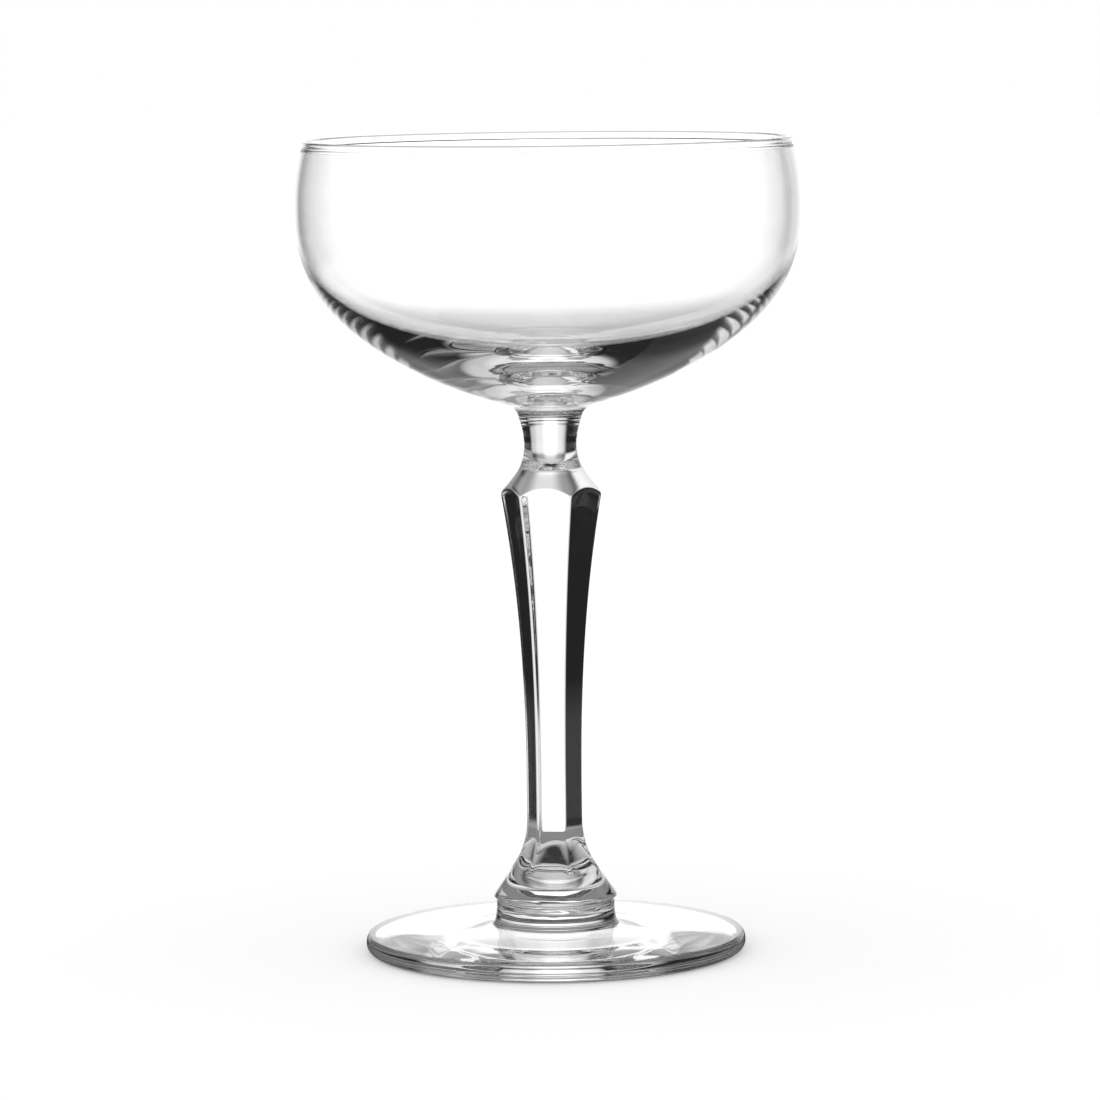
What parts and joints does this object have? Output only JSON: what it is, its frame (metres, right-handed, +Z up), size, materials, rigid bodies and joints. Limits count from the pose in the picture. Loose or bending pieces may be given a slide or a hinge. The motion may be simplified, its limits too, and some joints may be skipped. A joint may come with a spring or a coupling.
{
  "type": "coupe glass",
  "caption": "Stemmed coupe glass: a wide shallow clear bowl on a faceted, tapering stem with a knop, and a round foot.",
  "frame": {"origin": "centre of the round foot on the plane that the glass stands on", "axes": "+Z up the axis of the glass to the rim, +X through one corner of the six-sided stem, so one flat faces -Y"},
  "size_m": [0.095, 0.095, 0.1537],
  "materials": {
    "bowl_glass": "clear, fire-polished",
    "stem_glass": "clear, pressed and fire-polished",
    "foot_glass": "clear, pressed and fire-polished"
  },
  "bodies": {
    "root": {"bowl": "bowl_glass", "stem": "stem_glass", "foot": "foot_glass"}
  },
  "joints": []
}
